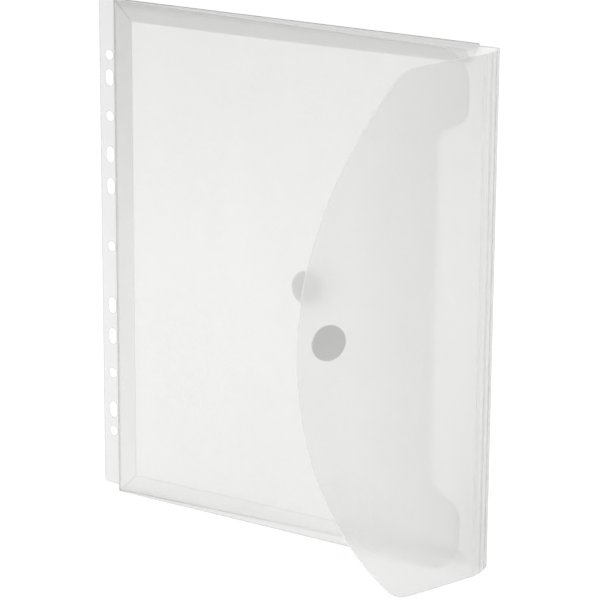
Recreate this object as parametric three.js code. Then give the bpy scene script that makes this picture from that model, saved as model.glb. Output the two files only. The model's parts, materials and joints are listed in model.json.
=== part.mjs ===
// A4 filing wallet of frosted polypropylene film: a pocket with bellows sides, a punched filing
// strip on its left edge, and a curved flap that closes over the front with a hook-and-loop dot.
// Millimetres, +Z up. The wallet stands on its lower edges with its front facing -Y. While it is
// built, the crease between the strip and the back panel is the line x = 0, y = 0. At the end the
// whole wallet is moved so that its origin is the bottom centre of its bounding box.
import * as THREE from 'three';

// Film
const FILM = 0.3; // thickness of every sheet
const GAP = 0.3; // clearance between neighbouring sheets
const LAYER = FILM + GAP; // pitch of sheets lying on each other
const FOLD_CLEARANCE = 0.05; // extra room between a bellows' two leaves at their fold
const CREASE_GAP = 0.3; // how far a sheet stops short of its crease line

// Pocket
const HEIGHT = 314;
const BACK_WIDTH = 255;
const MARGIN_START = 242.4; // the single-layer margin beyond the end of the bellows
const MARGIN_DROP = 1.2; // how far the margin, spine and flap lie below the pocket's top
const POCKET_EDGE = 0.6; // where the folded layers start, beside the strip's crease
const LEAF = 12; // width of one bellows leaf
const LEAF_ROUND = 1; // corner radius of a panel at its crease
const STACK_CENTRE = -1.5 * LAYER; // half-way through the folded pocket, the front's hinge line
const PANEL_OFFSET = 1.5 * LAYER; // from that line to the front and back panels
const WEDGE = THREE.MathUtils.degToRad(3.75); // how far the front panel stands open

// Front panel's mouth edge, with a finger recess between two tabs
const TAB_REACH = 245.5;
const TAB_HEIGHT = 40; // from the panel's end to the tab's inner corner
const TAB_ROUND = 20; // the tab's outer corner
const SLANT_ROUND = 10; // the tab's inner corner, and the recess's corner
const RECESS_REACH = 226;
const RECESS_START = 51; // from the panel's end to the recess's corner

// Filing strip
const STRIP_WIDTH = 12.4;
const STRIP_FOOT = 3.4; // the strip ends this far above the floor
const STRIP_ROUND = 3;
const STRIP_BEND = THREE.MathUtils.degToRad(11); // bent back from the pocket's plane
const HOLE_RADIUS = 3;
const HOLE_INSET = 4.3; // from the crease to the holes' centre line
const SLOT_LENGTH = 10;
const ROUND_HOLES = [0, 82, 120]; // distances from the strip's middle, up and down
const SLOTS = [38, 58, 106];

// Spine: three narrow strips between parallel creases
const SPINE_STRIP = 6.2;
const SPINE_HEADINGS = [98, 90, 81]; // degrees from folded flat over the front

// Flap
const FLAP_REACH = 124;
const FLAP_ARC = 217; // radius of the long curved edge
const FLAP_ROUND = 20; // corner between the long curve and the straight end
const FLAP_HEADING = 67; // degrees from closed, at the flap's crease
const FLAP_TIP_HEADING = 51.5; // the film curls in towards its tip
const CURL_START = 36; // distance from the crease at which the curl starts
const TIP_HALF_ANGLE = 1.5; // degrees of the long arc left as a small flat at the very tip

// Hook-and-loop dots
const LOOP_HEIGHT = 157;
const HOOK_HEIGHT = 162;
const DOT_RADIUS = 10.5;
const DOT_THICKNESS = 1;
const ADHESIVE_RADIUS = 10.1;
const ADHESIVE_THICKNESS = 0.4;
const CURL_CLEARANCE = 0.15; // a flat dot on the curled flap
const HOOK_DISTANCE = 103.5; // from the flap's crease
const LOOP_DISTANCE = 140; // from the pocket's left crease

const ARC_STEPS = 8;
const LEAF_STEPS = 12; // divisions along a bellows leaf

const film = { color: 0xe9ebeb, roughness: 0.45, metalness: 0 };
const fastener = { color: 0xc9cccc, roughness: 0.9, metalness: 0 };
const adhesive = { color: 0xd6d9d8, roughness: 0.6, metalness: 0 };

const wallet = new THREE.Group();

function addPiece(parent, name, geometry, finish) {
  const mesh = new THREE.Mesh(geometry, new THREE.MeshStandardMaterial(finish));
  mesh.name = name;
  parent.add(mesh);
  return mesh;
}

// A flat sheet of film in the XZ plane, half its thickness each side of y = 0.
function flatSheet(outline) {
  const sheet = new THREE.ExtrudeGeometry(outline, {
    depth: FILM,
    bevelEnabled: false,
    curveSegments: ARC_STEPS,
  });
  sheet.rotateX(Math.PI / 2);
  sheet.translate(0, FILM / 2, 0);
  return sheet;
}

// A closed outline through corners [x, y, radius], each rounded by an arc of its radius.
function roundedOutline(corners) {
  const outline = new THREE.Shape();
  corners.forEach(([x, y, radius], i) => {
    const corner = new THREE.Vector2(x, y);
    const previous = corners[(i + corners.length - 1) % corners.length];
    const next = corners[(i + 1) % corners.length];
    const back = new THREE.Vector2(previous[0], previous[1]).sub(corner).normalize();
    const ahead = new THREE.Vector2(next[0], next[1]).sub(corner).normalize();
    const halfAngle = Math.acos(back.dot(ahead)) / 2;
    const start = corner.clone().addScaledVector(back, radius / Math.tan(halfAngle));
    const end = corner.clone().addScaledVector(ahead, radius / Math.tan(halfAngle));
    if (i === 0) {
      outline.moveTo(start.x, start.y);
    } else {
      outline.lineTo(start.x, start.y);
    }
    if (radius > 0) {
      const inward = back.clone().add(ahead).normalize();
      const arcCentre = corner.clone().addScaledVector(inward, radius / Math.sin(halfAngle));
      const startAngle = start.clone().sub(arcCentre).angle();
      const endAngle = end.clone().sub(arcCentre).angle();
      const clockwise = ahead.cross(back) < 0;
      outline.absarc(arcCentre.x, arcCentre.y, radius, startAngle, endAngle, clockwise);
    }
  });
  outline.closePath();
  return outline;
}

// A sheet ruled between two matching lists of points, half its thickness each side of them.
function ruledSheet(lower, upper) {
  const last = lower.length - 1;
  const positions = [];
  const triangles = [];
  const addQuad = (a, b, c, d) => triangles.push(a, b, c, a, c, d);
  for (let i = 0; i <= last; i += 1) {
    const before = Math.max(i - 1, 0);
    const after = Math.min(i + 1, last);
    const along = lower[after].clone().sub(lower[before]);
    along.add(upper[after]).sub(upper[before]);
    const across = upper[i].clone().sub(lower[i]);
    const half = new THREE.Vector3().crossVectors(along, across).setLength(FILM / 2);
    [lower[i], upper[i]].forEach((edge) => {
      positions.push(...edge.clone().add(half).toArray());
      positions.push(...edge.clone().sub(half).toArray());
    });
  }
  for (let i = 0; i < last; i += 1) {
    const [lowFront, lowBack, highFront, highBack] = [0, 1, 2, 3].map((k) => 4 * i + k);
    const [lowFront2, lowBack2, highFront2, highBack2] = [4, 5, 6, 7].map((k) => 4 * i + k);
    addQuad(lowFront, lowFront2, highFront2, highFront);
    addQuad(lowBack, highBack, highBack2, lowBack2);
    addQuad(lowBack, lowBack2, lowFront2, lowFront);
    addQuad(highFront, highFront2, highBack2, highBack);
  }
  const end = 4 * last;
  addQuad(0, 2, 3, 1);
  addQuad(end + 1, end + 3, end + 2, end);
  const sheet = new THREE.BufferGeometry();
  sheet.setAttribute('position', new THREE.Float32BufferAttribute(positions, 3));
  sheet.setIndex(triangles);
  return sheet;
}

// Direction in plan of a sheet that has turned to a heading: 0 points left, over the front, and
// 90 points forwards.
function headingVector(degrees) {
  const angle = THREE.MathUtils.degToRad(degrees);
  return new THREE.Vector2(-Math.cos(angle), -Math.sin(angle));
}

function makeBackPanel() {
  const right = BACK_WIDTH - CREASE_GAP;
  const outline = roundedOutline([
    [CREASE_GAP, 0, LEAF_ROUND],
    [right, 0, 0],
    [right, HEIGHT - MARGIN_DROP, 0],
    [MARGIN_START, HEIGHT - MARGIN_DROP, 0],
    [MARGIN_START, HEIGHT, 0],
    [CREASE_GAP, HEIGHT, LEAF_ROUND],
  ]);
  addPiece(wallet, 'back_panel', flatSheet(outline), film);
}

function slotPath(centreX, centreY, length) {
  const straight = length / 2 - HOLE_RADIUS;
  const path = new THREE.Path();
  path.absarc(centreX, centreY + straight, HOLE_RADIUS, 0, Math.PI, false);
  path.absarc(centreX, centreY - straight, HOLE_RADIUS, Math.PI, 2 * Math.PI, false);
  path.closePath();
  return path;
}

function makePunchedStrip() {
  const outline = roundedOutline([
    [-STRIP_WIDTH, STRIP_FOOT, STRIP_ROUND],
    [-CREASE_GAP, STRIP_FOOT, 0],
    [-CREASE_GAP, HEIGHT, 0],
    [-STRIP_WIDTH, HEIGHT, LEAF_ROUND],
  ]);
  const middle = (STRIP_FOOT + HEIGHT) / 2;
  const punch = (distance, length) => {
    const places = distance === 0 ? [middle] : [middle - distance, middle + distance];
    places.forEach((z) => outline.holes.push(slotPath(-HOLE_INSET, z, length)));
  };
  ROUND_HOLES.forEach((distance) => punch(distance, 2 * HOLE_RADIUS));
  SLOTS.forEach((distance) => punch(distance, SLOT_LENGTH));
  const strip = addPiece(wallet, 'punched_strip', flatSheet(outline), film);
  strip.rotation.z = -STRIP_BEND;
}

// A leaf of the left bellows, folded flat inside the pocket's left crease.
function makeLeftLeaf(parent, name, y) {
  const outline = roundedOutline([
    [POCKET_EDGE, 0, 0],
    [POCKET_EDGE + LEAF, LEAF, 0],
    [POCKET_EDGE + LEAF, HEIGHT - LEAF, 0],
    [POCKET_EDGE, HEIGHT, 0],
  ]);
  const leaf = addPiece(parent, name, flatSheet(outline), film);
  leaf.position.y = y;
}

// Everything that swings with the front panel, about the pocket's left crease.
function makeFront() {
  const front = new THREE.Group();
  front.position.y = STACK_CENTRE;
  front.rotation.z = -WEDGE;
  wallet.add(front);

  const outline = roundedOutline([
    [POCKET_EDGE, 0, LEAF_ROUND],
    [TAB_REACH, 0, TAB_ROUND],
    [TAB_REACH, TAB_HEIGHT, SLANT_ROUND],
    [RECESS_REACH, RECESS_START, SLANT_ROUND],
    [RECESS_REACH, HEIGHT - RECESS_START, SLANT_ROUND],
    [TAB_REACH, HEIGHT - TAB_HEIGHT, SLANT_ROUND],
    [TAB_REACH, HEIGHT, TAB_ROUND],
    [POCKET_EDGE, HEIGHT, LEAF_ROUND],
  ]);
  const panel = addPiece(front, 'front_panel', flatSheet(outline), film);
  panel.position.y = -PANEL_OFFSET;
  makeLeftLeaf(front, 'left_gusset_front_leaf', -LAYER / 2);

  const dot = new THREE.Group();
  dot.position.set(LOOP_DISTANCE, -PANEL_OFFSET, LOOP_HEIGHT);
  front.add(dot);
  makeDot(dot, 'loop_dot', FILM / 2 + GAP);
}

// An adhesive disc and a fastener disc stacked along -Y, the first starting at a distance.
function makeDot(parent, name, start) {
  const makeDisc = (radius, thickness) => (
    new THREE.CylinderGeometry(radius, radius, thickness, 6 * ARC_STEPS)
  );
  const glue = addPiece(
    parent, `${name}_adhesive`, makeDisc(ADHESIVE_RADIUS, ADHESIVE_THICKNESS), adhesive,
  );
  glue.position.y = -(start + ADHESIVE_THICKNESS / 2);
  const pile = addPiece(parent, name, makeDisc(DOT_RADIUS, DOT_THICKNESS), fastener);
  pile.position.y = -(start + ADHESIVE_THICKNESS + GAP + DOT_THICKNESS / 2);
}

// The bellows along the top or bottom: two leaves meeting in a fold that dips into the pocket.
// They lie closed at the left crease and stand apart at the mouth, as the wedge opens.
function makeEndLeaves(name, edgeHeight, inward) {
  const stations = [];
  const first = POCKET_EDGE + LEAF + GAP;
  for (let i = 0; i <= LEAF_STEPS; i += 1) {
    stations.push(THREE.MathUtils.lerp(first, MARGIN_START, i / LEAF_STEPS));
  }
  const foldGap = LAYER / 2 + FOLD_CLEARANCE;
  const frontAt = (x) => STACK_CENTRE - x * Math.tan(WEDGE) - PANEL_OFFSET / Math.cos(WEDGE);
  const leafPoints = (side) => {
    const edges = [];
    const folds = [];
    stations.forEach((x) => {
      const middle = frontAt(x) / 2;
      const edgeY = side === 'rear' ? -LAYER : frontAt(x) + LAYER;
      const foldY = side === 'rear' ? middle + foldGap : middle - foldGap;
      const depth = Math.sqrt(LEAF ** 2 - (edgeY - foldY) ** 2);
      edges.push(new THREE.Vector3(x, edgeY, edgeHeight + inward * FILM / 2));
      folds.push(new THREE.Vector3(x, foldY, edgeHeight + inward * depth));
    });
    return inward > 0 ? [edges, folds] : [folds, edges];
  };
  ['rear', 'front'].forEach((side) => {
    const [lower, upper] = leafPoints(side);
    addPiece(wallet, `${name}_gusset_${side}_leaf`, ruledSheet(lower, upper), film);
  });
}

// The spine's strips run from crease to crease, and return where the flap's crease is.
function makeSpine() {
  const crease = new THREE.Vector2(BACK_WIDTH, 0);
  SPINE_HEADINGS.forEach((heading, i) => {
    const outline = roundedOutline([
      [CREASE_GAP, 0, 0],
      [SPINE_STRIP - CREASE_GAP, 0, 0],
      [SPINE_STRIP - CREASE_GAP, HEIGHT - MARGIN_DROP, 0],
      [CREASE_GAP, HEIGHT - MARGIN_DROP, 0],
    ]);
    const strip = addPiece(wallet, `spine_strip_${i + 1}`, flatSheet(outline), film);
    strip.position.set(crease.x, crease.y, 0);
    strip.rotation.z = THREE.MathUtils.degToRad(heading - 180);
    crease.addScaledVector(headingVector(heading), SPINE_STRIP);
  });
  return crease;
}

// Heading of the flap's film at a distance from its crease.
function flapHeading(distance) {
  const share = THREE.MathUtils.clamp((distance - CURL_START) / (FLAP_REACH - CURL_START), 0, 1);
  return THREE.MathUtils.lerp(FLAP_HEADING, FLAP_TIP_HEADING, share);
}

// Distances from the crease, each with the flap's half-height there: a straight end, a rounded
// corner and the long arc to the tip.
function flapStations(halfHeight) {
  const arcCentre = FLAP_REACH - FLAP_ARC;
  const cornerHeight = halfHeight - FLAP_ROUND;
  const cornerAngle = Math.asin(cornerHeight / (FLAP_ARC - FLAP_ROUND));
  const cornerCentre = arcCentre + (FLAP_ARC - FLAP_ROUND) * Math.cos(cornerAngle);
  const stations = [];
  const straightSteps = 3;
  for (let i = 0; i <= straightSteps; i += 1) {
    const distance = THREE.MathUtils.lerp(CREASE_GAP, cornerCentre, i / straightSteps);
    stations.push([distance, halfHeight]);
  }
  const cornerSteps = 5;
  for (let i = 1; i <= cornerSteps; i += 1) {
    const angle = THREE.MathUtils.lerp(Math.PI / 2, cornerAngle, i / cornerSteps);
    const distance = cornerCentre + FLAP_ROUND * Math.cos(angle);
    stations.push([distance, cornerHeight + FLAP_ROUND * Math.sin(angle)]);
  }
  const arcSteps = 18;
  const tipAngle = THREE.MathUtils.degToRad(TIP_HALF_ANGLE);
  for (let i = 1; i <= arcSteps; i += 1) {
    const angle = THREE.MathUtils.lerp(cornerAngle, tipAngle, i / arcSteps);
    const distance = arcCentre + FLAP_ARC * Math.cos(angle);
    stations.push([distance, FLAP_ARC * Math.sin(angle)]);
  }
  return stations;
}

// Place in plan on the flap's film at a distance from its crease.
function flapPlace(crease, distance) {
  const place = crease.clone();
  const steps = Math.max(1, Math.ceil(distance));
  for (let i = 0; i < steps; i += 1) {
    const middle = (distance * (i + 0.5)) / steps;
    place.addScaledVector(headingVector(flapHeading(middle)), distance / steps);
  }
  return place;
}

function makeFlap(crease) {
  const halfHeight = (HEIGHT - MARGIN_DROP) / 2;
  const lower = [];
  const upper = [];
  flapStations(halfHeight).forEach(([distance, half]) => {
    const place = flapPlace(crease, distance);
    lower.push(new THREE.Vector3(place.x, place.y, halfHeight - half));
    upper.push(new THREE.Vector3(place.x, place.y, halfHeight + half));
  });
  addPiece(wallet, 'flap', ruledSheet(lower, upper), film);

  const dot = new THREE.Group();
  const place = flapPlace(crease, HOOK_DISTANCE);
  dot.position.set(place.x, place.y, HOOK_HEIGHT);
  dot.rotation.z = THREE.MathUtils.degToRad(flapHeading(HOOK_DISTANCE) + 180);
  wallet.add(dot);
  makeDot(dot, 'hook_dot', FILM / 2 + GAP + CURL_CLEARANCE);
}

makeBackPanel();
makeLeftLeaf(wallet, 'left_gusset_rear_leaf', -LAYER);
makeEndLeaves('top', HEIGHT, -1);
makeEndLeaves('bottom', 0, 1);
makeFront();
makePunchedStrip();
makeFlap(makeSpine());

wallet.updateMatrixWorld(true);
const bounds = new THREE.Box3().setFromObject(wallet, true);
const centre = bounds.getCenter(new THREE.Vector3());
wallet.position.set(-centre.x, -centre.y, -bounds.min.z);

export default wallet;
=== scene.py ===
import json
import math
import random

import bpy
import numpy as np
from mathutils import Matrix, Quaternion, Vector, noise
from mathutils.geometry import delaunay_2d_cdt


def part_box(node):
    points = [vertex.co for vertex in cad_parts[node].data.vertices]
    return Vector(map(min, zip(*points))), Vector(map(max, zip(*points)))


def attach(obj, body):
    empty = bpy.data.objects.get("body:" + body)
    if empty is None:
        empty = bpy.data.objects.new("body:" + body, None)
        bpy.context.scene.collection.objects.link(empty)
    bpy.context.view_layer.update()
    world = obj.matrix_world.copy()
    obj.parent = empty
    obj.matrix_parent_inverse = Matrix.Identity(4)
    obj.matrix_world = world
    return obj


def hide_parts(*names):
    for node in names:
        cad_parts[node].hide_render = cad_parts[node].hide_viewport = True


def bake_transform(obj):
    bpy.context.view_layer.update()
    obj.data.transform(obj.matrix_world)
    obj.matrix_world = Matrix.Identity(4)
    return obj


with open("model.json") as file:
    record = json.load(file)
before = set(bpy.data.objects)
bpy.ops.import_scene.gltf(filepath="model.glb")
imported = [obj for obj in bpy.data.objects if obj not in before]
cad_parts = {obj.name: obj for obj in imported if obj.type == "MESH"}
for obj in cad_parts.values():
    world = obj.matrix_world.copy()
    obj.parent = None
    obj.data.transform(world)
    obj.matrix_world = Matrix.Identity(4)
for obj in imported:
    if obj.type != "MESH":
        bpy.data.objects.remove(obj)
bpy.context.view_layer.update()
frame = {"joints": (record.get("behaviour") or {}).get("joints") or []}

MM = 0.001
UP = Vector((0, 0, 1))

# ---- driving dimensions ---------------------------------------------------------------------------

FILM = 0.3  # the film's thickness
HALF = FILM / 2
LAYER = 0.6  # pitch of sheets lying on each other

# The pocket.
MARGIN_START = 242.4  # where the bellows end and the back panel's single-layer margin begins
MARGIN_DROP = 1.2  # how far the margin, the spine and the flap stay below the pocket's top
POCKET_EDGE = 0.6  # how far the front panel and the bellows stand in from the left crease
PANEL_OFFSET = 1.5 * LAYER  # from the back panel to the front's hinge, and from there to the front
SMALL_ROUND = 1.0  # a corner that is cut almost square

# The front panel's mouth: a tab at either end and the finger recess between them.
TAB_REACH = 245.5
TAB_HEIGHT = 40.0
TAB_ROUND = 20.0
SLANT_ROUND = 10.0
RECESS_REACH = 226.0
RECESS_START = 51.0

# The punched strip. Its round holes and slots lie in pairs, above and below its middle.
STRIP_WIDTH = 12.4
STRIP_FOOT = 3.4
STRIP_ROUND = 3.0
STRIP_BEND = math.radians(11)
HOLE_RADIUS = 3.0
HOLE_INSET = 4.3
SLOT_LENGTH = 10.0
ROUND_HOLES = (0, 82, 120)
SLOTS = (38, 58, 106)

# The spine's three strips, in degrees from folded flat over the front.
SPINE_HEADINGS = (98, 90, 81)

# The flap. Its free edge is a long arc between two round corners, and it curls in past CURL_START.
FLAP_REACH = 124.0
FLAP_ARC = 217.0
FLAP_ROUND = 20.0
FLAP_HEADING = 67.0  # degrees
FLAP_TIP_HEADING = 51.5  # degrees
CURL_START = 36.0

# The bellows.
LEAF = 12.0  # a leaf's width
LEAST_LEAF = 0.3  # its width where it runs out in a mitred corner
LEAF_SETBACK = 0.4  # how far the bellows' closed ends stand in from the panels'
LEAF_FOOT = 0.35  # how deep a leaf's free part starts, beside its weld
LEAF_SAG = 0.05  # share of the leaf's run
LEAST_DEPTH = 0.1
WELD_CURVE = ((0.0, 0.25), (0.35, HALF), (0.75, 0.25))  # (share of the way to the free part, depth)
FOLD_HALF_GAP = 0.35

# The dots. A height is measured from the middle of the dot, or of its adhesive, towards the pile.
DOT_RADIUS = 10.5
BACKING_LOW = -0.5
BACKING_TOP = 0.05
BACKING_ROUND = 0.2
ADHESIVE_RADIUS = 10.1
ADHESIVE_HALF = 0.2
ADHESIVE_ROUND = 0.12
PILE_MARGIN = 0.9  # the bare rim round the pile
PILE_JITTER = 0.1
ROW_PITCH = 0.87  # pitch of the rows, as a share of the pitch along them
HOOK_PITCH = 1.3
HOOK_LEAN = 0.35
HOOK_CURVE = ((0, 0.0), (0, 0.2), (0.35, 0.38), (0.8, 0.4), (1.0, 0.28))  # (share of the lean, height)
LOOP_PITCH = 1.15
LOOP_REACH = (0.3, 0.5)
LOOP_HEIGHT = (0.36, 0.42)
LOOP_SINK = 0.05  # how deep a loop's ends go into the backing
THREAD_RADIUS = 0.09

# How finely the meshes are divided.
GRID = 4.0  # spacing of the points inside a sheet
ARC_STEP = 0.9  # spacing of the points round a corner
FEWEST_ARC_STEPS = 3
MERGE_DISTANCE = 1e-6
LEAF_STEPS = 8
FOLD_STEPS = 6
DISC_SIDES = 72
DISC_FLAT = 0.5  # where a disc's innermost ring lies, as a share of its radius
CORNER_STEPS = 4
LOOP_STEPS = 5
THREAD_SIDES = 5

# The waviness of the free sheets: where in the noise it is taken, and how high it can be.
WAVE_SIZE = 90.0
BACK_WAVE = (3.1, 0.5)
FRONT_WAVE = (7.7, 1.6)
FLAP_WAVE = (1.3, 0.8)

# ---- places from the frame ------------------------------------------------------------------------

JOINTS = {joint["name"]: joint for joint in frame["joints"]}


def joint_place(name):
    """The foot of a crease."""
    return Vector(JOINTS[name]["pos_m"]) / MM


LEFT = joint_place("strip_crease")
FRONT_HINGE = joint_place("front_panel_crease")
SPINE_CREASES = [joint_place(f"spine_crease_{i}") for i in (1, 2, 3)] + [joint_place("flap_crease")]
WEDGE = math.radians(-JOINTS["front_panel_crease"]["range_deg"][0])  # how far the pocket stands open
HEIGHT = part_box("back_panel")[1].z / MM
BACK_WIDTH = SPINE_CREASES[0].x - LEFT.x


def clamp(share):
    """A share kept between 0 and 1."""
    return min(max(share, 0), 1)


class FlatPlace:
    """A plane standing on the floor: u runs along it, v upwards and w out of its front."""

    def __init__(self, origin, angle, offset=0.0):
        self.along = Vector((math.cos(angle), math.sin(angle), 0))
        self.out = self.along.cross(UP)
        self.origin = origin + offset * self.out

    def at(self, u, v, w=0.0):
        """The point at u, v and w."""
        return self.origin + u * self.along + v * UP + w * self.out


class CurledPlace:
    """The flap's film: u is the distance from its crease, along a film that curls in."""

    STEP = 0.5

    def __init__(self, origin):
        count = int(FLAP_REACH / self.STEP) + 2
        self.points = [origin.copy()]
        for i in range(count):
            self.points.append(self.points[-1] + self.STEP * self.along((i + 0.5) * self.STEP))

    @staticmethod
    def heading(u):
        """The film's direction, as an angle from folded flat over the front."""
        share = clamp((u - CURL_START) / (FLAP_REACH - CURL_START))
        return math.radians(FLAP_HEADING + share * (FLAP_TIP_HEADING - FLAP_HEADING))

    def along(self, u):
        """The direction in which the film runs away from its crease."""
        return Vector((-math.cos(self.heading(u)), -math.sin(self.heading(u)), 0))

    def at(self, u, v, w=0.0):
        """The point at u, v and w. Beyond the crease the film runs straight on."""
        i = max(0, min(int(u / self.STEP), len(self.points) - 2))
        share = u / self.STEP - i
        middle = self.points[i].lerp(self.points[i + 1], share)
        if u < 0:
            middle = self.points[0] + u * self.along(0)
        return middle + v * UP + w * self.along(u).cross(UP)


BACK = FlatPlace(LEFT, 0)
FRONT = FlatPlace(FRONT_HINGE, -WEDGE, PANEL_OFFSET)
STRIP = FlatPlace(LEFT, -STRIP_BEND)
SPINE = [
    FlatPlace(crease, math.radians(heading - 180))
    for crease, heading in zip(SPINE_CREASES, SPINE_HEADINGS)
]
FLAP = CurledPlace(SPINE_CREASES[3])

# ---- outlines -------------------------------------------------------------------------------------


def arc_points(centre, radius, start, end):
    """Points along an arc, from one angle to another."""
    steps = max(FEWEST_ARC_STEPS, math.ceil(abs(end - start) * radius / ARC_STEP))
    angles = [start + (end - start) * i / steps for i in range(steps + 1)]
    return [Vector((centre[0] + radius * math.cos(a), centre[1] + radius * math.sin(a))) for a in angles]


def rounded_outline(corners):
    """A closed counter-clockwise loop through corners (u, v, radius)."""
    loop = []
    for i, (u, v, radius) in enumerate(corners):
        corner = Vector((u, v))
        if radius == 0:
            loop.append(corner)
            continue
        back = (Vector(corners[i - 1][:2]) - corner).normalized()
        ahead = (Vector(corners[(i + 1) % len(corners)][:2]) - corner).normalized()
        half = back.angle(ahead) / 2
        centre = corner + (back + ahead).normalized() * radius / math.sin(half)
        first = corner + back * radius / math.tan(half) - centre
        start = math.atan2(first.y, first.x)
        turn = math.pi - 2 * half
        loop += arc_points(centre, radius, start, start + math.copysign(turn, ahead.cross(back)))
    return loop


def fill_straights(loop):
    """The loop with its long straight stretches divided to the grid's spacing."""
    filled = []
    for i, point in enumerate(loop):
        ahead = loop[(i + 1) % len(loop)]
        steps = max(1, round((ahead - point).length / GRID))
        filled += [point.lerp(ahead, k / steps) for k in range(steps)]
    return filled


def slot_loop(u, v, length):
    """A clockwise hole with round ends, or a circle where it is no longer than it is wide."""
    straight = length / 2 - HOLE_RADIUS
    loop = arc_points((u, v + straight), HOLE_RADIUS, math.pi, 0)
    low = arc_points((u, v - straight), HOLE_RADIUS, 0, -math.pi)
    if straight == 0:
        return loop + low[1:-1]
    return loop + low


# ---- film meshes ----------------------------------------------------------------------------------

CREASE_PRESS = 0.9  # how thick the film still is beside a crease

# Each ring inside a sheet's outline: its distance in, half the film's thickness there at a cut edge
# and at a crease, and how milky it is. The cut edge is round; beside a crease the film is thinner.
RIM = (
    (0.0, 0.0, 0.0, 1.0),
    (HALF * (1 - math.cos(math.pi / 4)), HALF * math.sin(math.pi / 4), HALF * math.sin(math.pi / 4), 1.0),
    (HALF, HALF, HALF, 1.0),
    (2.2 * HALF, HALF, CREASE_PRESS * HALF, 0.6),
    (3.8 * HALF, HALF, HALF, 0.0),
)
MOST_SPIKE = 2.0  # a sharp corner's ring point moves in by no more than this times the ring's distance


def ring_inside(loop, distance):
    """The loop moved in by a distance. Material lies on its left."""
    ring = []
    for i, point in enumerate(loop):
        before = (point - loop[i - 1]).normalized()
        after = (loop[(i + 1) % len(loop)] - point).normalized()
        left_before = Vector((-before.y, before.x))
        left_after = Vector((-after.y, after.x))
        inward = (left_before + left_after).normalized()
        ring.append(point + inward * distance / max(inward.dot(left_before), 1 / MOST_SPIKE))
    return ring


def inside_loops(points, loops):
    """For each point, whether it lies inside the first loop and outside the others."""
    inside = np.zeros(len(points), bool)
    for loop in loops:
        ring = np.array(loop)
        for a, b in zip(ring, np.roll(ring, -1, axis=0)):
            crosses = (a[1] > points[:, 1]) != (b[1] > points[:, 1])
            slope = (b[0] - a[0]) / (b[1] - a[1]) if b[1] != a[1] else 0.0
            inside ^= crosses & (points[:, 0] < a[0] + (points[:, 1] - a[1]) * slope)
    return inside


def distance_to_loops(points, loops):
    """For each point, how far the nearest loop is."""
    nearest = np.full(len(points), np.inf)
    for loop in loops:
        ring = np.array(loop)
        for a, b in zip(ring, np.roll(ring, -1, axis=0)):
            edge = b - a
            share = np.clip(((points - a) @ edge) / (edge @ edge), 0, 1)
            nearest = np.minimum(nearest, np.linalg.norm(points - a - share[:, None] * edge, axis=1))
    return nearest


def triangles_inside(triangles, walls):
    """The triangles on the left of the walls, found by spreading out from them."""
    owner = {}
    for i, (a, b, c) in enumerate(triangles):
        owner[a, b] = owner[b, c] = owner[c, a] = i
    waiting = [owner[wall] for wall in walls]
    walls = set(walls)
    inside = set()
    while waiting:
        i = waiting.pop()
        if i in inside:
            continue
        inside.add(i)
        a, b, c = triangles[i]
        sides = ((a, b), (b, c), (c, a))
        waiting += [owner[end, start] for start, end in sides if (start, end) not in walls]
    return [triangles[i] for i in sorted(inside)]


def fill_triangles(rings):
    """Points and triangles inside closed rings: the rings' own points first, then a staggered grid."""
    outer = np.array(rings[0])
    low, high = outer.min(0), outer.max(0)
    columns = np.arange(low[0] + GRID / 2, high[0], GRID)
    levels = np.arange(low[1] + GRID / 2, high[1], GRID * math.sqrt(0.75))
    grid = np.array([(u + (k % 2) * GRID / 2, v) for k, v in enumerate(levels) for u in columns])
    if len(grid):
        keep = inside_loops(grid, rings) & (distance_to_loops(grid, rings) > GRID / 2)
        grid = grid[keep]
    points = [point for ring in rings for point in ring] + [Vector(point) for point in grid]
    edges = []
    start = 0
    for ring in rings:
        edges += [(start + i, start + (i + 1) % len(ring)) for i in range(len(ring))]
        start += len(ring)
    _, _, triangles, origins, _, _ = delaunay_2d_cdt(points, edges, [], 0, MERGE_DISTANCE)
    triangles = [tuple(origins[i][0] for i in triangle) for triangle in triangles]
    return points, triangles_inside(triangles, edges)


def new_piece(name, points, faces, tones=None):
    """A smooth-shaded mesh object, with a named tone for each point where the material reads one."""
    mesh = bpy.data.meshes.new(name)
    mesh.from_pydata([point * MM for point in points], [], faces)
    mesh.polygons.foreach_set("use_smooth", [True] * len(mesh.polygons))
    for label, values in (tones or {}).items():
        attribute = mesh.attributes.new(label, "FLOAT", "POINT")
        attribute.data.foreach_set("value", values)
    mesh.update()
    piece = bpy.data.objects.new(name, mesh)
    bpy.context.scene.collection.objects.link(piece)
    return piece


def face_offsets(half):
    """How far a sheet's two faces lie from its middle. At its edge they meet in one."""
    return (0,) if half == 0 else (half, -half)


def film_sheet(name, outline, place, holes=(), is_crease=None, bow=None, painted_shade=None):
    """A closed sheet of film over an outline, with round edges and pressed creases."""
    flat_points = []
    halves = []
    tones = []
    flat_faces = []
    last_rings = []
    for loop in [fill_straights(outline)] + list(holes):
        count = len(loop)
        starts = []
        for inset, half, pressed, tone in RIM:
            starts.append(len(flat_points))
            flat_points += ring_inside(loop, inset)
            halves += [pressed if is_crease and is_crease(point) else half for point in loop]
            tones += [tone] * count
        for outer, inner in zip(starts, starts[1:]):
            for i in range(count):
                j = (i + 1) % count
                flat_faces.append((outer + i, outer + j, inner + j, inner + i))
        last_rings.append(range(starts[-1], starts[-1] + count))
    filled, triangles = fill_triangles([[flat_points[i] for i in ring] for ring in last_rings])
    index = [i for ring in last_rings for i in ring]
    for point in filled[len(index):]:
        index.append(len(flat_points))
        flat_points.append(point)
        halves.append(HALF)
        tones.append(0.0)
    flat_faces += [tuple(index[i] for i in triangle) for triangle in triangles]
    return thicken(name, flat_points, halves, tones, flat_faces, place, bow, painted_shade)


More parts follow.
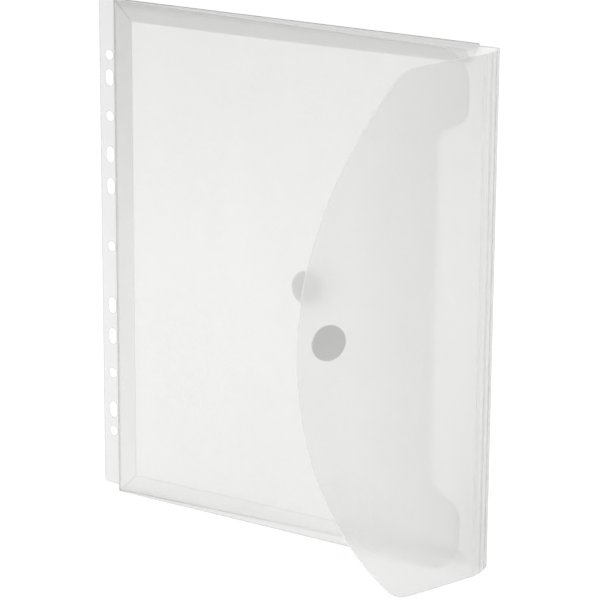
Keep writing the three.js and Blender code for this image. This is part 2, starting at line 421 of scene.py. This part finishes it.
def thicken(name, flat_points, halves, tones, flat_faces, place, bow, painted_shade):
    """Both faces of a sheet, sharing the points on its rim, where half the thickness is 0."""
    points = []
    edge_tones = []
    shade_tones = []
    front = []
    rear = []
    for (u, v), half, tone in zip(flat_points, halves, tones):
        lift = bow(u, v) if bow else 0.0
        # the painted shade that this point carries
        shaded = painted_shade(u, v) if painted_shade else 0.0
        front.append(len(points))
        for offset in face_offsets(half):
            points.append(place.at(u, v, lift + offset))
            edge_tones.append(tone)
            shade_tones.append(shaded)
        rear.append(len(points) - 1)
    faces = [tuple(front[i] for i in face) for face in flat_faces]
    faces += [tuple(rear[i] for i in reversed(face)) for face in flat_faces]
    return new_piece(name, points, faces, {"edge": edge_tones, "painted_shade": shade_tones})


def round_edge(inset):
    """Half the film's thickness at a distance in from a cut edge."""
    if inset >= HALF:
        return HALF
    return math.sqrt(HALF**2 - (HALF - inset) ** 2)


def grid_points(rows, row_insets, column_insets):
    """Points on both faces of a sheet about its middle points; at its edges the two faces meet."""
    middle = np.array([[tuple(point) for point in row] for row in rows])
    across = np.gradient(middle, axis=0)
    along = np.gradient(middle, axis=1)
    normal = np.cross(across, along)
    normal /= np.linalg.norm(normal, axis=2)[:, :, None]
    points = []
    for i, row_inset in enumerate(row_insets):
        for j, column_inset in enumerate(column_insets):
            for offset in face_offsets(round_edge(min(row_inset, column_inset))):
                points.append(Vector(middle[i, j] + offset * normal[i, j]))
    return points


def film_grid(name, rows, row_insets, column_insets):
    """A closed sheet of film over a grid of middle points, with round edges on all four sides."""
    points = grid_points(rows, row_insets, column_insets)
    tones = []
    front = {}
    rear = {}
    for i, row_inset in enumerate(row_insets):
        for j, column_inset in enumerate(column_insets):
            inset = min(row_inset, column_inset)
            tone = 1.0 if inset <= HALF else 0.0
            front[i, j] = len(tones)
            tones += [tone for _ in face_offsets(round_edge(inset))]
            rear[i, j] = len(tones) - 1
    faces = []
    for i in range(len(row_insets) - 1):
        for j in range(len(column_insets) - 1):
            corners = ((i, j), (i + 1, j), (i + 1, j + 1), (i, j + 1))
            faces.append(tuple(front[c] for c in corners))
            faces.append(tuple(rear[c] for c in reversed(corners)))
    # painted shade: the bellows are coloured darker towards their top
    shade_by_height = [LEAF_SHADE * point.z / HEIGHT for point in points]
    return new_piece(name, points, faces, {"edge": tones, "painted_shade": shade_by_height})


def inset_list(length):
    """Distances along a length, closer at its ends where the edge is round."""
    ends = [ring[0] for ring in RIM]
    steps = round((length - 2 * ends[-1]) / GRID)
    middle = [ends[-1] + (length - 2 * ends[-1]) * i / steps for i in range(1, steps)]
    return ends + middle + [length - inset for inset in reversed(ends)]


def slow_wave(seed, height, width):
    """A gentle waviness of a sheet as tall as the wallet, gone at its edges."""
    def bow(u, v):
        inside = math.sin(math.pi * clamp(u / width)) * math.sin(math.pi * clamp(v / HEIGHT))
        return height * inside * noise.noise(Vector((u / WAVE_SIZE, v / WAVE_SIZE, seed)))
    return bow


# ---- painted shade: where the film is coloured darker ---------------------------------------------

# Painted shade: each value is the share of the shade colour in the film's tint.
SEAM_WIDTH = 4.0
SEAM_FADE = 1.0  # the part of a seam's width over which it thins out
BACK_SEAM_SHADE = (0.9, 0.27, 0.12)  # painted shade at the top, the bottom and the left crease; most at the top, where the bellows' fold is in shade
# painted shade along the front panel's top and bottom; at the bottom it stands for the shade under the
# wallet
FRONT_SEAM_SHADE = (0.1, 0.4, 0.0)
FRONT_SHADE = 0.22  # painted shade at the front panel's mouth
FRONT_SHADE_REACH = 140.0  # that shade is whole this far from the panel's outer foot
LEAF_SHADE = 0.42  # painted shade at the top of the bellows, none at the floor
FLAP_SHADE = 0.55  # painted shade in the spine, and at the flap's crease and foot
FLAP_FADE = 90.0  # how far in from its crease and its foot the flap's painted shade fades out
FOOT_SHADE = 0.16  # added to the flap and the spine at the floor
CREASE_SHADE = 1.5  # how many times that again is added at the flap's crease
CREASE_SHADE_REACH = 20.0


def seam_shade(seam, u, v):
    """Painted shade along a panel's top, bottom and left crease, where the bellows are welded to it."""
    if u > MARGIN_START:
        return 0.0
    insets = (HEIGHT - v, v, u)
    return max(clamp((SEAM_WIDTH - inset) / SEAM_FADE) * most for inset, most in zip(insets, seam))


def front_painted_shade(u, v):
    """Painted shade on the front panel: darker towards its mouth, but not at its top or at its outer
    foot.
    """
    from_foot = min(math.hypot(u - TAB_REACH, v) / FRONT_SHADE_REACH, 1)
    shade = FRONT_SHADE * (u / MARGIN_START) * (1 - (v / HEIGHT)**2) * from_foot**2
    return max(shade, seam_shade(FRONT_SEAM_SHADE, u, v))


def foot_painted_shade(u, v):
    """The painted shade that the flap and the spine gain towards the floor, most at the flap's crease."""
    near_crease = max(0, 1 - u / CREASE_SHADE_REACH)
    return FOOT_SHADE * (1 - v / HEIGHT)**2 * (1 + CREASE_SHADE * near_crease)


def flap_painted_shade(u, v):
    """The flap's painted shade, which fades away from its crease and its foot."""
    return FLAP_SHADE * max(0, 1 - min(u, v) / FLAP_FADE) + foot_painted_shade(u, v)


# ---- shader nodes ---------------------------------------------------------------------------------


def feed(tree, socket, value):
    """Joins another node's output to a socket, or gives the socket a value of its own."""
    if isinstance(value, bpy.types.NodeSocket):
        tree.links.new(value, socket)
    else:
        socket.default_value = value


def add_node(tree, kind, inputs, **settings):
    """A new shader node with its settings and inputs."""
    node = tree.nodes.new("ShaderNode" + kind)
    for key, value in settings.items():
        setattr(node, key, value)
    for key, value in inputs.items():
        feed(tree, node.inputs[key], value)
    return node


def value_ramp(tree, value, low, high, to_low, to_high, shape="LINEAR"):
    """Runs from to_low to to_high as a value runs from low to high."""
    inputs = {"Value": value, 1: low, 2: high, 3: to_low, 4: to_high}
    return add_node(tree, "MapRange", inputs, interpolation_type=shape).outputs["Result"]


def opaque(colour, tone=1.0):
    """A colour for a socket, darkened to a share of itself."""
    return tuple(tone * channel for channel in colour) + (1,)


class Nodes:
    """Short ways to add and join a material's nodes."""

    def __init__(self, name):
        self.material = bpy.data.materials.new(name)
        self.material.use_nodes = True
        self.tree = self.material.node_tree
        self.shader = self.tree.nodes["Principled BSDF"]
        self.position = self.add("TexCoord", {}).outputs["Object"]

    def add(self, kind, inputs, **settings):
        return add_node(self.tree, kind, inputs, **settings)

    def attribute(self, name):
        return self.add("Attribute", {}, attribute_name=name).outputs["Fac"]

    def noise(self, vector, scale, detail):
        return self.add("TexNoise", {"Vector": vector, "Scale": scale, "Detail": detail}).outputs["Fac"]

    def stretched(self, scale):
        return self.add("Mapping", {"Vector": self.position, "Scale": scale}).outputs["Vector"]

    def ramp(self, *value_and_limits):
        return value_ramp(self.tree, *value_and_limits)

    def mix(self, factor, a, b):
        return self.add("Mix", {"Factor": factor, 6: a, 7: b}, data_type="RGBA").outputs[2]

    def set(self, **values):
        for key, value in values.items():
            feed(self.tree, self.shader.inputs[key.replace("_", " ")], value)

    def bump(self, height, distance, strength):
        node = self.add("Bump", {"Height": height, "Distance": distance, "Strength": strength})
        self.set(Normal=node.outputs["Normal"])


# ---- materials ------------------------------------------------------------------------------------

BLACK = (0, 0, 0)
WHITE = (1, 1, 1)

FILM_COLOUR = (0.988, 0.988, 0.984)
FILM_ROUGHNESS = 0.22
FILM_CLARITY = 0.95
FILM_IOR = 1.49

LEAF_COLOUR = (1.0, 1.0, 0.998)
LEAF_ROUGHNESS = 0.2
LEAF_CLARITY = 1.0
LEAF_IOR = 1.1  # lower than the film's own, so the folded leaves draw no dark lines

STRIP_SHADED_COLOUR = (0.855, 0.855, 0.852)  # painted shade: the strip is coloured darker than the rest of the film
# painted shade: the colour that the film is darkened towards
PAINTED_SHADE_COLOUR = (0.8, 0.8, 0.797)
EDGE_COLOUR = (0.97, 0.97, 0.966)  # cut edges are milky
EDGE_CLARITY = 0.1

CLOUD_SCALE = 9.0
CLOUD_TONE = 0.99
TOP_SHADE_TONE = 0.965  # painted shade: the film is coloured a little darker towards its top end
TOP_START = 0.5  # from this share of the height upwards
STREAK_SCALE = 60.0
STREAK_STRETCH = (1, 1, 0.15)
STREAK_RANGE = (0.2, 0.8)
STREAK_ROUGHNESS = 0.02
FILM_DETAIL = 3.0

LOOP_COLOUR = (0.85, 0.85, 0.84)
LOOP_ROUGHNESS = 0.9
LOOP_CLARITY = 0.0
HOOK_COLOUR = (0.99, 0.99, 0.985)
HOOK_ROUGHNESS = 0.35
HOOK_CLARITY = 0.9
ADHESIVE_COLOUR = (0.99, 0.99, 0.98)
ADHESIVE_ROUGHNESS = 0.3
ADHESIVE_CLARITY = 1.0

FUZZ_SCALE = 900.0
FUZZ_DETAIL = 4.0
FUZZ_TONE = 0.93
FUZZ_HEIGHT = 0.0002  # metres
FUZZ_STRENGTH = 0.5


def film_material(name, colour, clarity, roughness, ior):
    """Frosted film: it scatters light, is milky at its edges and is darkened by painted shade."""
    nodes = Nodes(name)
    height = nodes.add("SeparateXYZ", {"Vector": nodes.position}).outputs["Z"]
    # painted shade towards the top
    darkening = nodes.ramp(height, TOP_START * HEIGHT * MM, HEIGHT * MM, 0.0, 1.0 - TOP_SHADE_TONE)
    clouds = nodes.noise(nodes.position, CLOUD_SCALE, FILM_DETAIL)
    uneven = nodes.mix(clouds, opaque(colour, CLOUD_TONE), opaque(colour))
    tint = nodes.mix(darkening, uneven, opaque(BLACK))
    # painted shade, mixed in by each point's share
    shaded = nodes.mix(nodes.attribute("painted_shade"), tint, opaque(PAINTED_SHADE_COLOUR))
    edge = nodes.attribute("edge")
    nodes.set(Base_Color=nodes.mix(edge, shaded, opaque(EDGE_COLOUR)))
    streaks = nodes.noise(nodes.stretched(STREAK_STRETCH), STREAK_SCALE, FILM_DETAIL)
    smoothest = roughness - STREAK_ROUGHNESS
    nodes.set(Roughness=nodes.ramp(streaks, *STREAK_RANGE, smoothest, roughness + STREAK_ROUGHNESS))
    nodes.set(IOR=ior, Transmission_Weight=nodes.ramp(edge, 0.0, 1.0, clarity, EDGE_CLARITY))
    return nodes.material


def fuzzy_material(name, colour, roughness, clarity):
    """The dots' plastic and glue, finely mottled and rough to the light."""
    nodes = Nodes(name)
    fuzz = nodes.noise(nodes.position, FUZZ_SCALE, FUZZ_DETAIL)
    nodes.set(Base_Color=nodes.mix(fuzz, opaque(colour, FUZZ_TONE), opaque(colour)))
    nodes.set(Roughness=roughness, Transmission_Weight=clarity)
    nodes.bump(fuzz, FUZZ_HEIGHT, FUZZ_STRENGTH)
    return nodes.material


FILM_LOOK = film_material("frosted_film", FILM_COLOUR, FILM_CLARITY, FILM_ROUGHNESS, FILM_IOR)
LEAF_LOOK = film_material("bellows_film", LEAF_COLOUR, LEAF_CLARITY, LEAF_ROUGHNESS, LEAF_IOR)
STRIP_LOOK = film_material("shaded_strip_film", STRIP_SHADED_COLOUR, FILM_CLARITY, FILM_ROUGHNESS, FILM_IOR)
LOOP_LOOK = fuzzy_material("loop_pile", LOOP_COLOUR, LOOP_ROUGHNESS, LOOP_CLARITY)
HOOK_LOOK = fuzzy_material("hook_pile", HOOK_COLOUR, HOOK_ROUGHNESS, HOOK_CLARITY)
ADHESIVE_LOOK = fuzzy_material("adhesive", ADHESIVE_COLOUR, ADHESIVE_ROUGHNESS, ADHESIVE_CLARITY)


def dress(piece, body, look, slot, *nodes):
    """Gives a piece its material and its body, and hides the CAD nodes that it stands for.

    A bellows gets no body here; it lies between two.
    """
    piece.data.materials.append(look)
    if body:
        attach(piece, body)
    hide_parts(*nodes)


# ---- the pocket's panels, the strip and the spine -------------------------------------------------


def make_back_panel():
    """The rear sheet, with a step in its top edge where the margin begins."""
    right = BACK_WIDTH + HALF
    low = HEIGHT - MARGIN_DROP
    outline = rounded_outline([
        (-HALF, 0, 0), (right, 0, 0), (right, low, 0), (MARGIN_START, low, 0),
        (MARGIN_START, HEIGHT, 0), (-HALF, HEIGHT, 0),
    ])
    piece = film_sheet(
        "film_back", outline, BACK, is_crease=lambda p: p.x < 0 or p.x > BACK_WIDTH,
        bow=slow_wave(*BACK_WAVE, BACK_WIDTH), painted_shade=lambda u, v: seam_shade(BACK_SEAM_SHADE, u, v),
    )
    dress(piece, "back", FILM_LOOK, "film", "back_panel")


def make_front_panel():
    """The front sheet, with two tabs and a finger recess at its mouth."""
    outline = rounded_outline([
        (POCKET_EDGE, 0, SMALL_ROUND), (TAB_REACH, 0, TAB_ROUND),
        (TAB_REACH, TAB_HEIGHT, SLANT_ROUND), (RECESS_REACH, RECESS_START, SLANT_ROUND),
        (RECESS_REACH, HEIGHT - RECESS_START, SLANT_ROUND),
        (TAB_REACH, HEIGHT - TAB_HEIGHT, SLANT_ROUND), (TAB_REACH, HEIGHT, TAB_ROUND),
        (POCKET_EDGE, HEIGHT, SMALL_ROUND),
    ])
    piece = film_sheet(
        "film_front", outline, FRONT, bow=slow_wave(*FRONT_WAVE, BACK_WIDTH), painted_shade=front_painted_shade,
    )
    dress(piece, "front", FILM_LOOK, "film", "front_panel")


def make_strip():
    """The filing strip, with a row of round holes and slots."""
    outline = rounded_outline([
        (-STRIP_WIDTH, STRIP_FOOT, STRIP_ROUND), (HALF, STRIP_FOOT, 0),
        (HALF, HEIGHT, 0), (-STRIP_WIDTH, HEIGHT, SMALL_ROUND),
    ])
    middle = (STRIP_FOOT + HEIGHT) / 2
    lengths = [(d, 2 * HOLE_RADIUS) for d in ROUND_HOLES] + [(d, SLOT_LENGTH) for d in SLOTS]
    holes = [
        slot_loop(-HOLE_INSET, middle + side * distance, length)
        for distance, length in lengths
        for side in ((1,) if distance == 0 else (1, -1))
    ]
    piece = film_sheet("film_strip", outline, STRIP, holes, is_crease=lambda p: p.x > 0)
    dress(piece, "strip", STRIP_LOOK, "film", "punched_strip")


def make_spine():
    """The three strips between the back panel and the flap."""
    for i, place in enumerate(SPINE):
        width = (SPINE_CREASES[i + 1] - SPINE_CREASES[i]).length
        top = HEIGHT - MARGIN_DROP
        outline = [Vector(p) for p in ((-HALF, 0), (width + HALF, 0), (width + HALF, top), (-HALF, top))]
        # painted shade: the spine, facing away from the light, is coloured darker
        piece = film_sheet(
            f"film_spine_{i + 1}", outline, place, is_crease=lambda p, w=width: p.x < 0 or p.x > w,
            painted_shade=lambda u, v: FLAP_SHADE + foot_painted_shade(0, v),
        )
        dress(piece, f"spine_{i + 1}", FILM_LOOK, "film", f"spine_strip_{i + 1}")


# ---- the flap -------------------------------------------------------------------------------------


def flap_outline():
    """A straight crease, and a long arc that two smaller ones join to the straight ends."""
    half_height = (HEIGHT - MARGIN_DROP) / 2
    arc_centre = FLAP_REACH - FLAP_ARC
    corner_height = half_height - FLAP_ROUND
    corner_angle = math.asin(corner_height / (FLAP_ARC - FLAP_ROUND))
    corner_u = arc_centre + (FLAP_ARC - FLAP_ROUND) * math.cos(corner_angle)
    loop = [Vector((-HALF, 0))]
    loop += arc_points((corner_u, FLAP_ROUND), FLAP_ROUND, -math.pi / 2, -corner_angle)
    long_arc = arc_points((arc_centre, half_height), FLAP_ARC, -corner_angle, corner_angle)
    loop += long_arc[1:-1]
    top = (corner_u, 2 * half_height - FLAP_ROUND)
    loop += arc_points(top, FLAP_ROUND, corner_angle, math.pi / 2)
    loop.append(Vector((-HALF, 2 * half_height)))
    return loop


def make_flap():
    """The closing flap, which curls in towards the front."""
    piece = film_sheet(
        "film_flap", flap_outline(), FLAP, is_crease=lambda p: p.x < 0,
        bow=slow_wave(*FLAP_WAVE, FLAP_REACH), painted_shade=flap_painted_shade,
    )
    dress(piece, "flap", FILM_LOOK, "film", "flap")


# ---- the bellows ----------------------------------------------------------------------------------


def front_depth(u):
    """How far the front panel's middle stands in front of the back panel's, at a distance u."""
    return PANEL_OFFSET + u * math.tan(WEDGE) + PANEL_OFFSET / math.cos(WEDGE)


def bellows_section(gap, leaf):
    """A section from the back panel's edge to the front's: (distance forwards, depth inwards)."""
    middle = gap / 2
    start = min(LAYER, middle - FOLD_HALF_GAP / 2)
    run = middle - FOLD_HALF_GAP - start
    depth = math.sqrt(max(leaf**2 - run**2, LEAST_DEPTH**2))
    rear = [(share * start, inwards) for share, inwards in WELD_CURVE]
    for i in range(LEAF_STEPS + 1):
        share = i / LEAF_STEPS
        sag = LEAF_SAG * run * math.sin(math.pi * share)
        rear.append((start + run * share - sag, LEAF_FOOT + (depth - LEAF_FOOT) * share))
    bend = []
    for i in range(1, FOLD_STEPS):
        angle = math.pi * i / FOLD_STEPS
        bend.append((middle - FOLD_HALF_GAP * math.cos(angle), depth + FOLD_HALF_GAP * math.sin(angle)))
    front = [(gap - forwards, inwards) for forwards, inwards in reversed(rear)]
    return rear + bend + front


def section_insets(section):
    """For each point of a section, how far along it the nearer end is."""
    lengths = [0.0]
    for a, b in zip(section, section[1:]):
        lengths.append(lengths[-1] + math.dist(a, b))
    return [min(length, lengths[-1] - length) for length in lengths]


def leaf_at(distance):
    """The leaf's width near the mitred corner, and along the rest of the bellows."""
    return max(min(LEAF, distance), LEAST_LEAF)


def bend_with_front(piece, folded):
    """Bakes a bellows' placement into the points of its mesh.

    The folded points are not used.
    """
    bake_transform(piece)


def make_end_bellows(name, edge, inward, *nodes):
    """The bellows along the top or bottom, mitred at the left crease and open at the mouth."""
    start = POCKET_EDGE + LEAF_SETBACK
    length = MARGIN_START - start
    insets = inset_list(length)

    def row(u, gap):
        """The section at a distance u, with the front panel a gap away from the back panel."""
        section = bellows_section(gap, leaf_at(u - POCKET_EDGE))
        return [LEFT + Vector((u, -forwards, edge + inward * inwards)) for forwards, inwards in section]

    places = [start + inset for inset in insets]
    rows = [row(u, front_depth(u)) for u in places]
    folded = [row(u, front_depth(0)) for u in places]
    row_insets = [min(inset, length - inset) for inset in insets]
    column_insets = section_insets(bellows_section(front_depth(places[-1]), LEAF))
    piece = film_grid(name, rows, row_insets, column_insets)
    dress(piece, None, LEAF_LOOK, "film", *nodes)
    bend_with_front(piece, grid_points(folded, row_insets, column_insets))


def make_left_bellows():
    """The bellows folded flat inside the left crease, mitred to those at the ends."""
    length = HEIGHT - 2 * LEAF_SETBACK
    insets = inset_list(length)
    rows = []
    folded = []
    for inset in insets:
        v = LEAF_SETBACK + inset
        leaf = leaf_at(min(v, HEIGHT - v))
        row = []
        folded_row = []
        for forwards, inwards in bellows_section(front_depth(0), leaf):
            swing = (forwards / front_depth(0)) * WEDGE
            u = POCKET_EDGE + inwards
            row.append(LEFT + Vector((u, -forwards - u * math.tan(swing), v)))
            folded_row.append(LEFT + Vector((u, -forwards, v)))
        rows.append(row)
        folded.append(folded_row)
    row_insets = [min(inset, length - inset) for inset in insets]
    column_insets = section_insets(bellows_section(front_depth(0), LEAF))
    piece = film_grid("bellows_left", rows, row_insets, column_insets)
    dress(piece, None, LEAF_LOOK, "film", "left_gusset_rear_leaf", "left_gusset_front_leaf")
    bend_with_front(piece, grid_points(folded, row_insets, column_insets))


# ---- the hook-and-loop dots -----------------------------------------------------------------------


class DiscPlace:
    """A dot's own frame: x runs along the film that it is stuck to, z upwards and w out of its pile."""

    def __init__(self, dot, glue):
        low, high = (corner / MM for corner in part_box(dot))
        glue_low, glue_high = (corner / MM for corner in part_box(glue))
        self.centre = (low + high) / 2
        self.glue_centre = (glue_low + glue_high) / 2
        self.out = (self.centre - self.glue_centre).normalized()
        self.along = UP.cross(self.out)

    def at(self, centre, x, z, w):
        """The point at x, z and w from the middle of the dot or of its adhesive."""
        return centre + x * self.along + z * UP + w * self.out


def disc_mesh(place, centre, profile):
    """Points and faces of a round disc turned from a profile of (radius, w)."""
    points = [place.at(centre, 0, 0, profile[0][1]), place.at(centre, 0, 0, profile[-1][1])]
    faces = []
    rings = []
    for radius, w in profile:
        rings.append(len(points))
        for k in range(DISC_SIDES):
            angle = 2 * math.pi * k / DISC_SIDES
            points.append(place.at(centre, radius * math.cos(angle), radius * math.sin(angle), w))
    for k in range(DISC_SIDES):
        after = (k + 1) % DISC_SIDES
        for ring, following in zip(rings, rings[1:]):
            faces.append((ring + k, ring + after, following + after, following + k))
        faces.append((0, rings[0] + after, rings[0] + k))
        faces.append((1, rings[-1] + k, rings[-1] + after))
    return points, faces


def disc_profile(radius, low, high, rounding):
    """Half a disc's section, from its lower face round its edge to its upper face."""
    profile = [(DISC_FLAT * radius, low), (radius - 2 * rounding, low)]
    for height, start in ((low + rounding, -math.pi / 2), (high - rounding, 0)):
        for i in range(CORNER_STEPS + 1):
            angle = start + math.pi / 2 * i / CORNER_STEPS
            across = radius - rounding + rounding * math.cos(angle)
            profile.append((across, height + rounding * math.sin(angle)))
    return profile + [(radius - 2 * rounding, high), (DISC_FLAT * radius, high)]


def add_thread(points, faces, path):
    """Adds a closed tube along a path."""
    first = len(points)
    for i, centre in enumerate(path):
        ahead = path[min(i + 1, len(path) - 1)] - path[max(i - 1, 0)]
        side = ahead.orthogonal().normalized()
        other = ahead.cross(side).normalized()
        for k in range(THREAD_SIDES):
            angle = 2 * math.pi * k / THREAD_SIDES
            points.append(centre + THREAD_RADIUS * (math.cos(angle) * side + math.sin(angle) * other))
    for i in range(len(path) - 1):
        for k in range(THREAD_SIDES):
            a = first + i * THREAD_SIDES + k
            b = first + i * THREAD_SIDES + (k + 1) % THREAD_SIDES
            faces.append((a, b, b + THREAD_SIDES, a + THREAD_SIDES))
    last = first + (len(path) - 1) * THREAD_SIDES
    faces.append(tuple(first + k for k in reversed(range(THREAD_SIDES))))
    faces.append(tuple(last + k for k in range(THREAD_SIDES)))


def hook_path(x, z, row):
    """A hook's middle line. Rows lean to the right and left in turn."""
    lean = HOOK_LEAN if row % 2 == 0 else -HOOK_LEAN
    return [(x + lean * share, z, BACKING_TOP + up) for share, up in HOOK_CURVE]


def loop_path(x, z, draw):
    """A loop's middle line, turned and sized at random."""
    angle = draw.uniform(0, math.pi)
    reach = draw.uniform(*LOOP_REACH)
    path = []
    for k in range(LOOP_STEPS + 1):
        turn = math.pi * k / LOOP_STEPS
        across = reach * math.cos(turn)
        up = BACKING_TOP - LOOP_SINK + draw.uniform(*LOOP_HEIGHT) * math.sin(turn)
        path.append((x + across * math.cos(angle), z + across * math.sin(angle), up))
    return path


def pile_paths(is_hook, seed):
    """The middle lines of a dot's threads, in staggered rows."""
    draw = random.Random(seed)
    pitch = HOOK_PITCH if is_hook else LOOP_PITCH
    count = int(DOT_RADIUS / pitch)
    paths = []
    for i in range(-count, count + 1):
        for row in range(-count, count + 1):
            x = pitch * (i + 0.5 * (row % 2)) + draw.uniform(-PILE_JITTER, PILE_JITTER)
            z = pitch * ROW_PITCH * row + draw.uniform(-PILE_JITTER, PILE_JITTER)
            if math.hypot(x, z) > DOT_RADIUS - PILE_MARGIN:
                continue
            paths.append(hook_path(x, z, row) if is_hook else loop_path(x, z, draw))
    return paths


def make_dot(body, dot, glue, pile_name, glue_name, is_hook, seed):
    """One half of the fastener: a clear disc of adhesive, and a backing with its hooks or loops."""
    place = DiscPlace(dot, glue)
    glue_profile = disc_profile(ADHESIVE_RADIUS, -ADHESIVE_HALF, ADHESIVE_HALF, ADHESIVE_ROUND)
    piece = new_piece(glue_name, *disc_mesh(place, place.glue_centre, glue_profile))
    dress(piece, body, ADHESIVE_LOOK, "adhesive", glue)

    backing = disc_profile(DOT_RADIUS, BACKING_LOW, BACKING_TOP, BACKING_ROUND)
    points, faces = disc_mesh(place, place.centre, backing)
    for path in pile_paths(is_hook, seed):
        add_thread(points, faces, [place.at(place.centre, *point) for point in path])
    piece = new_piece(pile_name, points, faces)
    dress(piece, body, HOOK_LOOK if is_hook else LOOP_LOOK, "fastener_pile", dot)


# ---- stage, light and camera ----------------------------------------------------------------------

CAMERA_PLACE = Vector((859.16, -1487.06, 697.46))
CAMERA_AZIMUTH = math.radians(28.829)
CAMERA_PITCH = math.radians(17.349)
CAMERA_ROLL = math.radians(0.362)
CAMERA_LENS = 186.8
CAMERA_NEAR = 0.05  # metres
CAMERA_FAR = 100  # metres

FLOOR_HALF = 30.0  # metres
FLOOR_COLOUR = (0.2, 0.2, 0.2)
FLOOR_ROUGHNESS = 0.9
GLOW_PLACE = (-0.25, 0.45, 0)  # metres: the floor is brightest here, behind the wallet
GLOW_REACH = 1.1  # metres
GLOW_MOST = 0.92
GLOW_LEAST = 0.86

HORIZON_END = 0.1  # how steeply upwards the sky stops being as bright as at the horizon
ZENITH_START = 0.8
HORIZON_TONE = 1.0
ZENITH_TONE = 0.6

MOST_BOUNCES = 32


def make_camera():
    """The photographer's view, from the front right and above."""
    data = bpy.data.cameras.new("camera")
    data.lens = CAMERA_LENS
    data.clip_start = CAMERA_NEAR
    data.clip_end = CAMERA_FAR
    camera = bpy.data.objects.new("camera", data)
    camera.location = CAMERA_PLACE * MM
    forward = Vector((
        -math.sin(CAMERA_AZIMUTH) * math.cos(CAMERA_PITCH),
        math.cos(CAMERA_AZIMUTH) * math.cos(CAMERA_PITCH),
        -math.sin(CAMERA_PITCH),
    ))
    turn = forward.to_track_quat("-Z", "Y") @ Quaternion((0, 0, 1), CAMERA_ROLL)
    camera.rotation_euler = turn.to_euler()
    bpy.context.scene.collection.objects.link(camera)
    bpy.context.scene.camera = camera


def make_floor():
    """A pale floor that glows, as a lit studio table does, and lights the wallet from below."""
    mesh = bpy.data.meshes.new("floor")
    corners = [(x * FLOOR_HALF, y * FLOOR_HALF, 0) for x, y in ((-1, -1), (1, -1), (1, 1), (-1, 1))]
    mesh.from_pydata(corners, [], [(0, 1, 2, 3)])
    floor = bpy.data.objects.new("floor", mesh)
    bpy.context.scene.collection.objects.link(floor)
    nodes = Nodes("pale_floor")
    measure = nodes.add("VectorMath", {0: nodes.position, 1: GLOW_PLACE}, operation="DISTANCE")
    distance = measure.outputs["Value"]
    glow = value_ramp(nodes.tree, distance, 0.0, GLOW_REACH, GLOW_MOST, GLOW_LEAST, "SMOOTHSTEP")
    nodes.set(Base_Color=opaque(FLOOR_COLOUR), Roughness=FLOOR_ROUGHNESS)
    nodes.set(Emission_Color=opaque(WHITE), Emission_Strength=glow)
    mesh.materials.append(nodes.material)


def make_light():
    """A white sky, brightest at the horizon."""
    world = bpy.data.worlds.new("studio")
    bpy.context.scene.world = world
    world.use_nodes = True
    tree = world.node_tree
    direction = add_node(tree, "TexCoord", {}).outputs["Generated"]
    up = add_node(tree, "SeparateXYZ", {"Vector": direction}).outputs["Z"]
    limits = (HORIZON_END, ZENITH_START, HORIZON_TONE, ZENITH_TONE)
    background = tree.nodes["Background"]
    feed(tree, background.inputs["Color"], opaque(WHITE))
    feed(tree, background.inputs["Strength"], value_ramp(tree, up, *limits, "SMOOTHSTEP"))


def set_look():
    """Plain colours, and enough bounces for light to pass through every layer of film."""
    scene = bpy.context.scene
    scene.view_settings.view_transform = "Standard"
    scene.cycles.max_bounces = MOST_BOUNCES
    scene.cycles.transmission_bounces = MOST_BOUNCES
    scene.cycles.glossy_bounces = MOST_BOUNCES
    scene.cycles.diffuse_bounces = MOST_BOUNCES
    scene.cycles.transparent_max_bounces = MOST_BOUNCES


make_camera()
make_floor()
make_light()
set_look()

make_back_panel()
make_front_panel()
make_strip()
make_spine()
make_flap()
make_end_bellows("bellows_top", HEIGHT, -1, "top_gusset_rear_leaf", "top_gusset_front_leaf")
make_end_bellows("bellows_bottom", 0, 1, "bottom_gusset_rear_leaf", "bottom_gusset_front_leaf")
make_left_bellows()
make_dot("front", "loop_dot", "loop_dot_adhesive", "loop_pile", "loop_adhesive", is_hook=False, seed=11)
make_dot("flap", "hook_dot", "hook_dot_adhesive", "hook_pile", "hook_adhesive", is_hook=True, seed=12)
